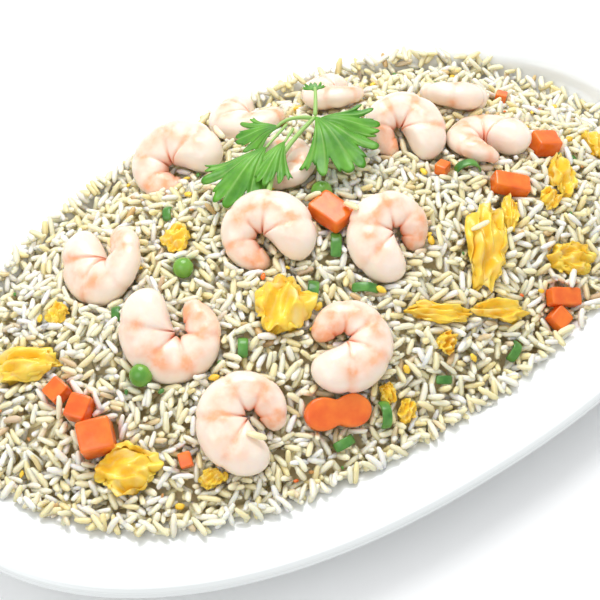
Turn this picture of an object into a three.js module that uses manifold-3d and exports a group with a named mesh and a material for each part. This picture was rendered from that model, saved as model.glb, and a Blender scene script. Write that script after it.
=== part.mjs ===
import * as THREE from 'three';
import { mergeVertices } from 'three/addons/utils/BufferGeometryUtils.js';
import Module from 'manifold-3d';

// Shrimp fried rice heaped on a white oval platter. Millimetres, +Z up.
// X runs along the platter, Y across it, and the origin is under its middle on the table.

const wasm = await Module();
wasm.setup();

// Platter sizes
const RIM_HALF_LENGTH = 190;
const RIM_HALF_WIDTH = 120.7;
const RIM_HEIGHT = 28;
const WELL_HALF_LENGTH = 164;
const WELL_HALF_WIDTH = 92;
const WELL_EDGE_HEIGHT = 24;
const WELL_FLOOR = 5;
const UNDERSIDE_RECESS = 1.6;
const RIM_SEGMENTS = 48;

// Heap sizes
const HEAP_HALF_LENGTH = 160;
const HEAP_HALF_WIDTH = 90;
const HEAP_TOP = 54;
const HEAP_EDGE = 22;
const HEAP_POWER = 2.1;
const HEAP_SHOULDER = 2.2;
const HEAP_DETAIL = 9;
const TOP_SHARE = THREE.MathUtils.degToRad(132);
const GRAIN_RISE = 1.6;
const GRAIN_SHIFT = 1.2;
const HEAP_BOTTOM = -6;
const HEAP_WALL_SHARE = 0.3;
// The rice spills over the well edge at one side and stops short at the other:
// direction and spread in degrees, reach as a share, height in millimetres
const SPILL = { turn: -125, spread: 24, reach: 0.05, rise: 3 };
const DENT = { turn: 18, spread: 28, reach: 0.07, fall: 6 };
const LUMPS_BROAD = 1.2;
const LUMPS_SMALL = 0.9;

// Room left between two pieces that touch
const GAP = 0.3;
const LIFT_CLEAR = 0.4;
const SIDE_CLEAR = 0.2;
const TALLEST = 120;
// Sharp corners are moved out no further than the gap over this
const LEAST_FACING = 0.4;

// Each ring is half length, half width, height and the power of its rounded outline,
// from the middle of the well up over the rim and back under to the middle of the foot.
const PLATTER_RINGS = [
  [0, 0, WELL_FLOOR, 2],
  [118, 54, WELL_FLOOR + 0.3, 2],
  [143, 75, 9, 2],
  [157, 86.5, 16.5, 2],
  [WELL_HALF_LENGTH, WELL_HALF_WIDTH, WELL_EDGE_HEIGHT, 2],
  [177, 106, 26, 2.1],
  [RIM_HALF_LENGTH - 3.5, RIM_HALF_WIDTH - 3.5, RIM_HEIGHT, 2.25],
  [RIM_HALF_LENGTH - 0.8, RIM_HALF_WIDTH - 0.8, RIM_HEIGHT - 0.5, 2.25],
  [RIM_HALF_LENGTH, RIM_HALF_WIDTH, RIM_HEIGHT - 2, 2.25],
  [RIM_HALF_LENGTH - 2, RIM_HALF_WIDTH - 2, RIM_HEIGHT - 4.6, 2.25],
  [166, 96, 19.5, 2.1],
  [150, 82, 8, 2],
  [126, 60, 2, 2],
  [122, 57, 0, 2],
  [114, 50, 0, 2],
  [111, 47.5, UNDERSIDE_RECESS, 2],
  [0, 0, UNDERSIDE_RECESS, 2],
];
const INSIDE_RINGS = 7;

// x, y, across, turn of the head, lean along x and y, 1 or -1 for the way it curls
const SHRIMPS = [
  [-28.4, 67.9, 49, -54, -0.25, -0.55, 1],
  [15.4, 73.2, 44, 60, 0.05, 0.0, 1],
  [3.0, 32.0, 36, 120, -0.1, -0.1, -1],
  [-77.9, 37.3, 49, 86, -0.55, 0.0, 1],
  [-25.0, 4.5, 47, -79, -0.25, -0.35, 1],
  [-75.1, -11.8, 51, 71, -0.25, -0.4, 1],
  [-71.1, -56.0, 49, -94, -0.05, 0.0, -1],
  [-22.8, -50.2, 47, 181, -0.1, -0.1, 1],
  [21.1, -22.1, 46, -104, -0.1, -0.25, -1],
  [55.8, 22.0, 43, -94, -0.2, -0.3, 1],
  [52.0, 61.4, 38, 40, 0.1, 0.1, 1],
  [91.4, 33.4, 36, 10, 0.45, 0.6, -1],
  [84.5, 0.0, 44, 300, 0.2, 0.3, 1],
];
const SHRIMP_SIDES = 7;
const SHRIMP_RINGS = 10;
const SHRIMP_CURL = THREE.MathUtils.degToRad(332);
const SHRIMP_LIFT = 4;
const SHRIMP_FLATTEN = 0.78;
const HEAD_CAP = 0.14;
const TAIL_CAP = 0.08;
// Shares of the size across: half thickness and inner bend at both ends, the rise of the head,
// and how far the body and the tip of the tail hang down
const HEAD_THICK = 0.235;
const TAIL_THICK = 0.095;
const TAPER = 1.1;
const HEAD_BEND = 0.02;
const TAIL_BEND = 0.08;
const HEAD_RISE = 0.03;
const BODY_DROP = 0.05;
const TIP_DROP = 0.07;

// x, y, radius
const PEAS = [
  [-56.8, 13.7, 4.2],
  [-95.8, -17.2, 4.6],
  [8.7, 11.4, 4.5],
];
const PEA_LIFT_SHARE = 0.4;

// x, y, length, width, thickness, turn, lift
const CARROTS = [
  [-122.5, -27.6, 13.5, 13, 12, -20, 4],
  [-124.4, -0.8, 8.5, 8, 7, 10, 2],
  [-121.5, -13.2, 10, 9, 8, 35, 2.5],
  [4.6, -1.1, 12, 16, 7, 15, 3],
  [71.3, -72.6, 14, 7.5, 6, -30, 1.5],
  [64.7, -78.3, 8, 8, 6, 20, 1],
  [109.7, -10.6, 11.5, 9.5, 8, -15, 2.5],
  [80.3, -23.4, 16, 8, 7, -34, 1.5],
  [59.7, -3.2, 5.5, 5, 5, 25, 1.5],
  [116.8, 27.7, 6, 5, 5, 40, 1.5],
  [-99.2, -54.4, 6, 5, 4.5, 70, 1.2],
];
const CARROT_SLICE = [-40.1, -70.3, 9.2, 6, -25, 3.2];
const SLICE_WAIST = 0.45;
const SLICE_STEPS = 20;
// How near a point is to a face to count as on it, and how far edges are rubbed down
const ON_FACE = 0.49;
const EDGE_RUB = 0.06;

// x, y, length, width, thickness, turn, how far the middle arches up
const EGGS = [
  [-36.1, -26.2, 23, 20, 9, 40, 2.5],
  [51.3, -44.2, 35, 16, 7, 56, 1.5],
  [70.5, -35.2, 16, 7, 5, 56, 0.5],
  [-128.1, 18.7, 29, 14, 7, -34, 1.5],
  [-119.0, -43.6, 24, 18, 7, -34, 1.5],
  [-50.9, 28.0, 12, 11, 6, 20, 1],
  [105.3, -27.5, 18, 12, 7, 56, 1],
  [92.6, -35.4, 10, 8, 5, 30, 0.5],
  [84.7, -60.8, 18, 13, 6, -34, 1],
  [18.0, -56.7, 25, 8, 5, -34, 0.5],
  [14.2, -68.2, 9, 8, 5, 15, 0.5],
  [-106.6, 31.0, 9, 8, 4.5, 0, 0.5],
  [-94.4, -65.0, 9, 7, 4.5, 10, 0.5],
  [-14.4, -81.1, 9, 7, 4.5, 50, 0.5],
  [-17.8, -73.0, 8, 6, 4, 80, 0.5],
  [42.0, -66.5, 20, 9, 5, -34, 0.5],
  [134.0, -18.0, 16, 10, 5, 70, 0.5],
];
const EGG_ROUGH = 0.16;
const EGG_LIFT_SHARE = 0.22;

// x, y, radius of its bow, how far round it goes, width, turn
const SCALLIONS = [
  [68.2, -9.3, 6, 170, 4, -20],
  [-1.4, -13.2, 9, 80, 4.5, 56],
  [-2.4, -35.1, 7, 110, 4, -34],
  [-57.8, -31.4, 5, 130, 4, 56],
  [38.7, -80.8, 5, 150, 4, 40],
  [5.8, -78.3, 5, 100, 3.5, -34],
  [-23.9, -78.0, 5.5, 200, 4, 70],
  [-43.0, -79.1, 5, 150, 4, 0],
  [-88.9, 12.6, 5, 110, 3.5, 60],
  [-20.9, -25.5, 7, 100, 4.5, 50],
  [-46.3, 42.1, 4.5, 140, 3.5, 56],
];
const SCALLION_WALL = 1.3;
const SCALLION_STEPS = 4;
const SCALLION_LIFT = 0.2;

// Coriander: tube paths as points with a radius, leaflets as base, tip and width
const STEMS = [
  [1.3, [[-17, 11, 62], [-6, 24, 66.5], [10, 33, 67], [25, 39, 66]]],
  [0.9, [[23, 38.3, 66.2], [14, 42, 68], [7, 42, 67]]],
  [0.9, [[24, 38.5, 66], [30, 47, 67.5], [33, 52, 66]]],
];
const LEAFLETS = [
  [[10, 41, 67], [-8, 51, 62], 17],
  [[12, 41, 67.5], [-33, 24, 66], 24],
  [[13, 38, 67], [-15, 21, 69], 14],
  [[24, 40, 66], [23, 6, 68], 32],
  [[22, 38, 66.2], [44, 20, 66], 18],
  [[31, 48, 67], [36, 58, 63], 8],
];
const LEAF_THICKNESS = 0.9;
const LEAF_TEETH = 5;
const LEAF_WAVE = 0.07;
const LEAF_WAVES = 5;
const LEAF_FOLD = 0.25;
const LEAF_NOTCH = 0.72;
const LEAF_BASE = 0.05;

function seededRandom(seed) {
  let state = seed;
  return function next() {
    state = (state + 0x6d2b79f5) | 0;
    let mixed = Math.imul(state ^ (state >>> 15), 1 | state);
    mixed = (mixed + Math.imul(mixed ^ (mixed >>> 7), 61 | mixed)) ^ mixed;
    return ((mixed ^ (mixed >>> 14)) >>> 0) / 4294967296;
  };
}

// Closed meshes and solids

function closedGeometry(source) {
  const bare = new THREE.BufferGeometry();
  bare.setAttribute('position', source.getAttribute('position').clone());
  if (source.index) {
    bare.setIndex(source.index.clone());
  }
  const merged = mergeVertices(bare, 1e-4);
  const corners = merged.index.array;
  const position = merged.getAttribute('position');
  const first = new THREE.Vector3();
  const second = new THREE.Vector3();
  const third = new THREE.Vector3();
  const kept = [];
  let volume = 0;
  for (let i = 0; i < corners.length; i += 3) {
    const [a, b, c] = [corners[i], corners[i + 1], corners[i + 2]];
    if (a !== b && b !== c && c !== a) {
      kept.push(a, b, c);
      first.fromBufferAttribute(position, a);
      second.fromBufferAttribute(position, b);
      third.fromBufferAttribute(position, c);
      volume += first.dot(second.cross(third));
    }
  }
  if (volume < 0) {
    for (let i = 0; i < kept.length; i += 3) {
      [kept[i], kept[i + 1]] = [kept[i + 1], kept[i]];
    }
  }
  merged.setIndex(kept);
  return merged;
}

function toSolid(geometry) {
  const closed = closedGeometry(geometry);
  const vertProperties = new Float32Array(closed.getAttribute('position').array);
  const triVerts = new Uint32Array(closed.index.array);
  const mesh = new wasm.Mesh({ numProp: 3, vertProperties, triVerts });
  mesh.merge();
  return new wasm.Manifold(mesh);
}

function toGeometry(solid) {
  const mesh = solid.getMesh();
  const geometry = new THREE.BufferGeometry();
  const places = new Float32Array(mesh.vertProperties);
  geometry.setAttribute('position', new THREE.BufferAttribute(places, 3));
  geometry.setIndex(Array.from(mesh.triVerts));
  return geometry;
}

function largestBody(solid) {
  const bodies = solid.decompose();
  return bodies.reduce((best, body) => (body.volume() > best.volume() ? body : best));
}

// The same closed shape with every face moved out by the gap
function swollen(geometry) {
  const closed = closedGeometry(geometry);
  const position = closed.getAttribute('position');
  const corners = closed.index.array;
  const sums = Array.from({ length: position.count }, () => new THREE.Vector3());
  const facing = Array.from({ length: position.count }, () => []);
  const points = [new THREE.Vector3(), new THREE.Vector3(), new THREE.Vector3()];
  for (let i = 0; i < corners.length; i += 3) {
    points.forEach((point, k) => point.fromBufferAttribute(position, corners[i + k]));
    const edge = points[1].clone().sub(points[0]);
    const normal = edge.cross(points[2].clone().sub(points[0]));
    const unit = normal.clone().normalize();
    for (let k = 0; k < 3; k++) {
      sums[corners[i + k]].add(normal);
      facing[corners[i + k]].push(unit);
    }
  }
  for (let i = 0; i < position.count; i++) {
    const out = sums[i].normalize();
    const least = Math.min(...facing[i].map((unit) => unit.dot(out)));
    const move = GAP / Math.max(least, LEAST_FACING);
    const x = position.getX(i) + out.x * move;
    const y = position.getY(i) + out.y * move;
    const z = position.getZ(i) + out.z * move;
    position.setXYZ(i, x, y, z);
  }
  return closed;
}

// Rounded ovals

function reach(angle, power) {
  const alongX = Math.abs(Math.cos(angle)) ** power;
  const alongY = Math.abs(Math.sin(angle)) ** power;
  return (alongX + alongY) ** (-1 / power);
}

function ovalSolidGeometry(rings) {
  const outline = rings.map((ring) => new THREE.Vector2(ring[0], ring[2]));
  const geometry = new THREE.LatheGeometry(outline, RIM_SEGMENTS);
  const position = geometry.getAttribute('position');
  for (let i = 0; i < position.count; i++) {
    const [halfLength, halfWidth, height, power] = rings[i % rings.length];
    const step = Math.floor(i / rings.length) % RIM_SEGMENTS;
    const angle = (2 * Math.PI * step) / RIM_SEGMENTS;
    const out = reach(angle, power);
    const x = halfLength * out * Math.cos(angle);
    const y = halfWidth * out * Math.sin(angle);
    position.setXYZ(i, x, y, height);
  }
  return geometry;
}

function platterGeometry() {
  return closedGeometry(ovalSolidGeometry(PLATTER_RINGS));
}

// The room above the glaze, which the rice fills from below
function roomGeometry() {
  const inside = PLATTER_RINGS.slice(0, INSIDE_RINGS);
  const rings = inside.map(([halfLength, halfWidth, height, power]) => [
    Math.max(halfLength - SIDE_CLEAR, 0),
    Math.max(halfWidth - SIDE_CLEAR, 0),
    height + LIFT_CLEAR,
    power,
  ]);
  const last = rings[rings.length - 1];
  rings.push([last[0], last[1], TALLEST, last[3]]);
  rings.push([0, 0, TALLEST, last[3]]);
  return ovalSolidGeometry(rings);
}

// Heap surface

function swell(angle, place) {
  const away = angle - THREE.MathUtils.degToRad(place.turn);
  const turn = Math.atan2(Math.sin(away), Math.cos(away));
  return Math.exp(-((turn / THREE.MathUtils.degToRad(place.spread)) ** 2));
}

function heapReach(angle) {
  return 1 + SPILL.reach * swell(angle, SPILL) - DENT.reach * swell(angle, DENT);
}

function heapEdge(angle) {
  return HEAP_EDGE + SPILL.rise * swell(angle, SPILL) - DENT.fall * swell(angle, DENT);
}

function lumps(x, y) {
  const broad = LUMPS_BROAD * Math.sin(x / 17 + 1.3) * Math.cos(y / 13 - 0.4);
  const small = LUMPS_SMALL * Math.sin((x + y) / 9 + 2.1) * Math.cos((x - y) / 12);
  return broad + small;
}

function heapHeight(x, y) {
  const across = x / HEAP_HALF_LENGTH;
  const up = y / HEAP_HALF_WIDTH;
  const sum = Math.abs(across) ** HEAP_POWER + Math.abs(up) ** HEAP_POWER;
  const angle = Math.atan2(up, across);
  const share = Math.min(sum ** (1 / HEAP_POWER) / heapReach(angle), 1);
  const edge = heapEdge(angle);
  const crown = (HEAP_TOP - edge) * (1 - share ** HEAP_SHOULDER);
  return edge + crown + lumps(x, y) * (1 - share ** 4);
}

function heapNormal(x, y) {
  const step = 3;
  const dx = (heapHeight(x + step, y) - heapHeight(x - step, y)) / (2 * step);
  const dy = (heapHeight(x, y + step) - heapHeight(x, y - step)) / (2 * step);
  return new THREE.Vector3(-dx, -dy, 1).normalize();
}

function heapGeometry() {
  const random = seededRandom(11);
  const geometry = closedGeometry(new THREE.IcosahedronGeometry(1, HEAP_DETAIL));
  const position = geometry.getAttribute('position');
  const point = new THREE.Vector3();
  for (let i = 0; i < position.count; i++) {
    point.fromBufferAttribute(position, i).normalize();
    const tilt = Math.acos(THREE.MathUtils.clamp(point.z, -1, 1));
    const angle = Math.atan2(point.y, point.x);
    const out = heapReach(angle) * reach(angle, HEAP_POWER);
    const share = Math.min(Math.sin(tilt / 2) / Math.sin(TOP_SHARE / 2), 1);
    let inward = share;
    let x = HEAP_HALF_LENGTH * out * Math.cos(angle) * inward;
    let y = HEAP_HALF_WIDTH * out * Math.sin(angle) * inward;
    let z = heapHeight(x, y);
    if (tilt < TOP_SHARE) {
      z += GRAIN_RISE * (2 * random() - 1);
      x += GRAIN_SHIFT * (2 * random() - 1) * (1 - share ** 8);
      y += GRAIN_SHIFT * (2 * random() - 1) * (1 - share ** 8);
    } else {
      const under = (tilt - TOP_SHARE) / (Math.PI - TOP_SHARE);
      inward = 1 - Math.max(0, (under - HEAP_WALL_SHARE) / (1 - HEAP_WALL_SHARE));
      x *= inward;
      y *= inward;
      z = THREE.MathUtils.lerp(heapEdge(angle), HEAP_BOTTOM, Math.min(under / HEAP_WALL_SHARE, 1));
    }
    position.setXYZ(i, x, y, z);
  }
  return geometry;
}

// Placing a topping on the heap

function seat(geometry, x, y, lift, turn, leanX = 0, leanY = 0) {
  const up = heapNormal(x, y);
  up.add(new THREE.Vector3(leanX, leanY, 0)).normalize();
  const spin = THREE.MathUtils.degToRad(turn);
  const ahead = new THREE.Vector3(Math.cos(spin), Math.sin(spin), 0);
  ahead.addScaledVector(up, -ahead.dot(up)).normalize();
  const side = up.clone().cross(ahead);
  const place = new THREE.Matrix4().makeBasis(ahead, side, up);
  place.setPosition(x, y, heapHeight(x, y) + lift);
  return closedGeometry(geometry).applyMatrix4(place);
}

// A peeled shrimp curled up, thick at the head end and thin at the tail
function shrimpGeometry(across, hand) {
  const geometry = new THREE.SphereGeometry(1, SHRIMP_SIDES, SHRIMP_RINGS);
  const position = geometry.getAttribute('position');
  for (let i = 0; i < position.count; i++) {
    const row = Math.floor(i / (SHRIMP_SIDES + 1)) / SHRIMP_RINGS;
    const around = (2 * Math.PI * (i % (SHRIMP_SIDES + 1))) / SHRIMP_SIDES;
    const eased = 0.5 - 0.5 * Math.cos(Math.PI * row);
    const along = THREE.MathUtils.lerp(row, eased, 0.5);
    const fromHead = Math.max(0, 1 - along / HEAD_CAP);
    const fromTail = Math.max(0, (along - 1 + TAIL_CAP) / TAIL_CAP);
    const cap = Math.sqrt(Math.max(0, 1 - Math.max(fromHead, fromTail) ** 2));
    const thick = across * THREE.MathUtils.lerp(HEAD_THICK, TAIL_THICK, along ** TAPER);
    const girth = thick * cap;
    const radius = thick + across * THREE.MathUtils.lerp(HEAD_BEND, TAIL_BEND, along);
    const turn = SHRIMP_CURL * along;
    const out = radius + girth * Math.cos(around);
    const hang = BODY_DROP * along ** 2 + TIP_DROP * along ** 8;
    const rise = SHRIMP_FLATTEN * girth * Math.sin(around) + across * (HEAD_RISE - hang);
    position.setXYZ(i, out * Math.cos(turn), hand * out * Math.sin(turn), rise);
  }
  return geometry;
}

// Diced carrot with its edges rubbed down
function carrotGeometry(length, width, thickness) {
  const geometry = new THREE.BoxGeometry(length, width, thickness, 2, 2, 2);
  const position = geometry.getAttribute('position');
  const point = new THREE.Vector3();
  for (let i = 0; i < position.count; i++) {
    point.fromBufferAttribute(position, i);
    const ends = [point.x / length, point.y / width, point.z / thickness];
    const extremes = ends.filter((end) => Math.abs(end) > ON_FACE).length;
    point.multiplyScalar(1 - EDGE_RUB * (extremes - 1));
    position.setXYZ(i, point.x, point.y, point.z);
  }
  return geometry;
}

// A slice of carrot with a waist
function carrotSliceGeometry(radius, thickness) {
  const outline = new THREE.Shape();
  for (let i = 0; i < SLICE_STEPS; i++) {
    const angle = (2 * Math.PI * i) / SLICE_STEPS;
    const out = radius * (1 + SLICE_WAIST * Math.cos(2 * angle));
    const x = out * Math.cos(angle);
    const y = out * Math.sin(angle);
    if (i === 0) {
      outline.moveTo(x, y);
    } else {
      outline.lineTo(x, y);
    }
  }
  const geometry = new THREE.ExtrudeGeometry(outline, { depth: thickness, bevelEnabled: false });
  return geometry.translate(0, 0, -thickness / 2);
}

// A torn piece of fried egg
function eggGeometry(length, width, thickness, arch, seed) {
  const random = seededRandom(seed);
  const geometry = closedGeometry(new THREE.IcosahedronGeometry(1, 1));
  const position = geometry.getAttribute('position');
  for (let i = 0; i < position.count; i++) {
    const rough = 1 + EGG_ROUGH * (2 * random() - 1);
    const x = position.getX(i) * rough;
    const y = position.getY(i) * rough;
    const z = position.getZ(i);
    const lift = arch * (0.6 - x * x);
    position.setXYZ(i, (x * length) / 2, (y * width) / 2, (z * thickness) / 2 + lift);
  }
  return geometry;
}

// Part of a ring cut across a green onion leaf
function scallionGeometry(radius, sweep, width) {
  const half = THREE.MathUtils.degToRad(sweep) / 2;
  const outline = [];
  for (let i = 0; i <= SCALLION_STEPS; i++) {
    const angle = -half + (2 * half * i) / SCALLION_STEPS;
    outline.push(new THREE.Vector2(radius * Math.sin(angle), radius * Math.cos(angle)));
  }
  const inner = radius - SCALLION_WALL;
  for (let i = SCALLION_STEPS; i >= 0; i--) {
    const angle = -half + (2 * half * i) / SCALLION_STEPS;
    outline.push(new THREE.Vector2(inner * Math.sin(angle), inner * Math.cos(angle)));
  }
  const shape = new THREE.Shape(outline);
  const geometry = new THREE.ExtrudeGeometry(shape, { depth: width, bevelEnabled: false });
  geometry.translate(0, -radius * Math.cos(half), -width / 2);
  return geometry.rotateX(Math.PI / 2);
}

function stemGeometry(radius, points) {
  const path = new THREE.CatmullRomCurve3(points.map((point) => new THREE.Vector3(...point)));
  const section = new THREE.Shape();
  section.absarc(0, 0, radius, 0, 2 * Math.PI);
  const steps = 2 * (points.length - 1);
  return new THREE.ExtrudeGeometry(section, { steps, extrudePath: path, curveSegments: 3 });
}

// A toothed leaflet from its base to its tip, thin and gently waved
function leafletGeometry(base, tip, width) {
  const from = new THREE.Vector3(...base);
  const ahead = new THREE.Vector3(...tip).sub(from);
  const length = ahead.length();
  const outline = [new THREE.Vector2(0, -LEAF_BASE * width)];
  for (let side = -1; side <= 1; side += 2) {
    for (let k = 0; k < LEAF_TEETH; k++) {
      const share = (side < 0 ? k + 0.5 : LEAF_TEETH - 0.5 - k) / LEAF_TEETH;
      const tooth = k % 2 === 0 ? 1 : LEAF_NOTCH;
      const half = 0.5 * width * Math.sin(Math.PI * share ** 0.8) ** 0.6 * tooth;
      outline.push(new THREE.Vector2(length * share, side * half));
    }
    if (side < 0) {
      outline.push(new THREE.Vector2(length, 0));
    }
  }
  outline.push(new THREE.Vector2(0, LEAF_BASE * width));
  const shape = new THREE.Shape(outline);
  const settings = { depth: LEAF_THICKNESS, bevelEnabled: false };
  const geometry = new THREE.ExtrudeGeometry(shape, settings);
  const position = geometry.getAttribute('position');
  for (let i = 0; i < position.count; i++) {
    const x = position.getX(i);
    const y = position.getY(i);
    const wave = Math.sin((LEAF_WAVES * x) / length) * Math.cos((LEAF_WAVES * y) / width);
    const fold = -LEAF_FOLD * Math.abs(y);
    position.setZ(i, position.getZ(i) + LEAF_WAVE * length * wave + fold);
  }
  ahead.normalize();
  const side = new THREE.Vector3(0, 0, 1).cross(ahead).normalize();
  const up = ahead.clone().cross(side);
  const place = new THREE.Matrix4().makeBasis(ahead, side, up);
  place.setPosition(from);
  return closedGeometry(geometry).applyMatrix4(place);
}

function corianderGeometry() {
  const solids = STEMS.map(([radius, points]) => toSolid(stemGeometry(radius, points)));
  LEAFLETS.forEach(([base, tip, width]) => {
    solids.push(toSolid(leafletGeometry(base, tip, width)));
  });
  return toGeometry(solids.reduce((joined, solid) => joined.add(solid)));
}

// Materials

function food(color, roughness) {
  return new THREE.MeshStandardMaterial({ color, roughness, metalness: 0 });
}

const whiteGlaze = food(0xf0f2f1, 0.12);
const cookedRice = food(0xe8d9a8, 0.5);
const shrimpFlesh = food(0xf2b48e, 0.35);
const carrotOrange = food(0xee6a1e, 0.4);
const peaGreen = food(0x6fa53a, 0.4);
const eggYellow = food(0xedc23c, 0.5);
const scallionGreen = food(0x4f8f3c, 0.45);
const corianderGreen = food(0x3f8a35, 0.5);

// Every topping in the order in which it keeps its own shape

function toppings() {
  const list = [];
  const number = (index) => String(index + 1).padStart(2, '0');
  SHRIMPS.forEach(([x, y, across, turn, leanX, leanY, hand], i) => {
    const shape = shrimpGeometry(across, hand);
    const placed = seat(shape, x, y, SHRIMP_LIFT, turn, leanX, leanY);
    list.push([`shrimp_${number(i)}`, placed, shrimpFlesh]);
  });
  PEAS.forEach(([x, y, radius], i) => {
    const shape = new THREE.IcosahedronGeometry(radius, 1);
    list.push([`pea_${number(i)}`, seat(shape, x, y, PEA_LIFT_SHARE * radius, 0), peaGreen]);
  });
  CARROTS.forEach(([x, y, length, width, thickness, turn, lift], i) => {
    const shape = carrotGeometry(length, width, thickness);
    list.push([`carrot_${number(i)}`, seat(shape, x, y, lift, turn), carrotOrange]);
  });
  const [sliceX, sliceY, radius, thickness, sliceTurn, sliceLift] = CARROT_SLICE;
  const slice = carrotSliceGeometry(radius, thickness);
  list.push(['carrot_slice', seat(slice, sliceX, sliceY, sliceLift, sliceTurn), carrotOrange]);
  EGGS.forEach(([x, y, length, width, thick, turn, arch], i) => {
    const shape = eggGeometry(length, width, thick, arch, 100 + i);
    list.push([`egg_${number(i)}`, seat(shape, x, y, EGG_LIFT_SHARE * thick, turn), eggYellow]);
  });
  SCALLIONS.forEach(([x, y, bow, sweep, width, turn], i) => {
    const shape = scallionGeometry(bow, sweep, width);
    list.push([`scallion_${number(i)}`, seat(shape, x, y, SCALLION_LIFT, turn), scallionGreen]);
  });
  list.push(['coriander', corianderGeometry(), corianderGreen]);
  return list;
}

function namedMesh(name, geometry, material) {
  geometry.computeBoundingBox();
  const middle = geometry.boundingBox.getCenter(new THREE.Vector3());
  geometry.translate(-middle.x, -middle.y, -middle.z);
  const mesh = new THREE.Mesh(geometry, material);
  mesh.name = name;
  mesh.position.copy(middle);
  return mesh;
}

const dish = new THREE.Group();
dish.add(namedMesh('platter', platterGeometry(), whiteGlaze));

const placedToppings = [];
for (const [name, geometry, material] of toppings()) {
  const around = new THREE.Box3().setFromBufferAttribute(geometry.getAttribute('position'));
  let solid = toSolid(geometry);
  for (const earlier of placedToppings) {
    if (earlier.around.intersectsBox(around)) {
      solid = solid.subtract(earlier.hollow);
    }
  }
  solid = largestBody(solid);
  const kept = toGeometry(solid);
  placedToppings.push({ name, kept, material, around, hollow: toSolid(swollen(kept)) });
}

let rice = toSolid(heapGeometry()).intersect(toSolid(roomGeometry()));
for (const { hollow } of placedToppings) {
  rice = rice.subtract(hollow);
}
dish.add(namedMesh('rice_heap', toGeometry(largestBody(rice)), cookedRice));
for (const { name, kept, material } of placedToppings) {
  dish.add(namedMesh(name, kept, material));
}

export default dish;
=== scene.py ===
"""Shrimp fried rice on a white oval platter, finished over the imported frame."""
import math
import random

import bmesh
import bpy
import numpy as np
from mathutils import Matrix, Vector, noise
from mathutils.bvhtree import BVHTree


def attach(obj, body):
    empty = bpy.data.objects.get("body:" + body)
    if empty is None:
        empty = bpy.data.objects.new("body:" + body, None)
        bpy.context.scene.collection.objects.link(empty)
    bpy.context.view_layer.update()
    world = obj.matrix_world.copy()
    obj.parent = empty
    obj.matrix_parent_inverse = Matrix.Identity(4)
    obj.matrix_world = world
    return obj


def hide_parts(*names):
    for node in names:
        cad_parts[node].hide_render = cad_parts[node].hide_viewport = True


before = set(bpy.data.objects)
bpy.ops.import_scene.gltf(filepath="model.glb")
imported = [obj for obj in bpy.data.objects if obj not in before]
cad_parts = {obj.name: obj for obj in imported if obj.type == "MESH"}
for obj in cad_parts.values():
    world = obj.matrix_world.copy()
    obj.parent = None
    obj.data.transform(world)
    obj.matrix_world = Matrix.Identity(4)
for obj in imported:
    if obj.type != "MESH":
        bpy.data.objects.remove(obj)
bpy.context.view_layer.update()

# Shapes are worked out in millimetres and stored in metres
MM = 0.001
BODY = "root"

# Camera, as the dish is photographed
CAMERA_AZIMUTH = -34.2
CAMERA_ELEVATION = 54.8
CAMERA_DISTANCE = 735
CAMERA_TARGET = (-18.1, -12.3, 28)
CAMERA_LENS = 107.7

# Heap of rice
HEAP_HALF_LENGTH = 160
HEAP_HALF_WIDTH = 90
HEAP_TOP = 54
HEAP_EDGE = 22
HEAP_POWER = 2.1
HEAP_SHOULDER = 2.2
LUMPS_BROAD = 1.2
LUMPS_SMALL = 0.9

# The rice spills over the well edge at one side and stops short at the other:
# direction and spread in degrees, reach as a share, height in millimetres
SPILL_TURN, SPILL_SPREAD, SPILL_REACH, SPILL_RISE = -125, 24, 0.05, 3
DENT_TURN, DENT_SPREAD, DENT_REACH, DENT_FALL = 18, 28, 0.07, 6

# Core under the grains: how deep it lies, its share of the heap's plan above and below,
# and its height over the glaze
CORE_DEPTH = 9.0
CORE_SHARE = 0.985
CORE_UNDER_SHARE = 0.98
CORE_CLEAR = 0.7

# Loose grains: how many are tried, the share that may lie on toppings, and the share of the
# plan that they reach. They stop this far over the glaze or the heap's surface.
GRAIN_TRIES = 150000
GRAIN_LENGTH = (6.8, 9.8)
GRAIN_WIDTH = (2.4, 3.1)
GRAIN_FLATTEN = 0.88
RESTING_SHARE = 0.0001
GRAIN_REACH = 1.025
EDGE_LAYER = 3.2
HEAP_SPARE = 1.0
# Slopes: the steepest that a grain takes from below, and its own tilt, which is mostly small
STEEPEST = 0.75
SMALL_TILT = 0.18
LARGE_TILT = 0.8
SMALL_TILT_SHARE = 0.8
# The height map that the grains are laid on has cells of 1 mm
GRID_HALF = (180, 112)

# Each ring is half length, half width, height and the power of its rounded outline
PLATTER_RINGS = [
    (0, 0, 5, 2), (60, 27, 5, 2), (118, 54, 5.3, 2), (143, 75, 9, 2), (157, 86.5, 16.5, 2),
    (164, 92, 24, 2), (177, 106, 26, 2.1), (186.5, 117.2, 28, 2.25), (189.2, 119.9, 27.5, 2.25),
    (190, 120.7, 26, 2.25), (188, 118.7, 23.4, 2.25), (166, 96, 19.5, 2.1), (150, 82, 8, 2),
    (126, 60, 2, 2), (122, 57, 0, 2), (114, 50, 0, 2), (111, 47.5, 1.6, 2), (60, 26, 1.6, 2),
    (0, 0, 1.6, 2),
]
# The first rings are the inside, out to the top of the rim; the well ends at its edge
RINGS_INSIDE = 8
WELL = (164.0, 92.0)
RING_STEPS = 6
PLATTER_SIDES = 160

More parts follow.
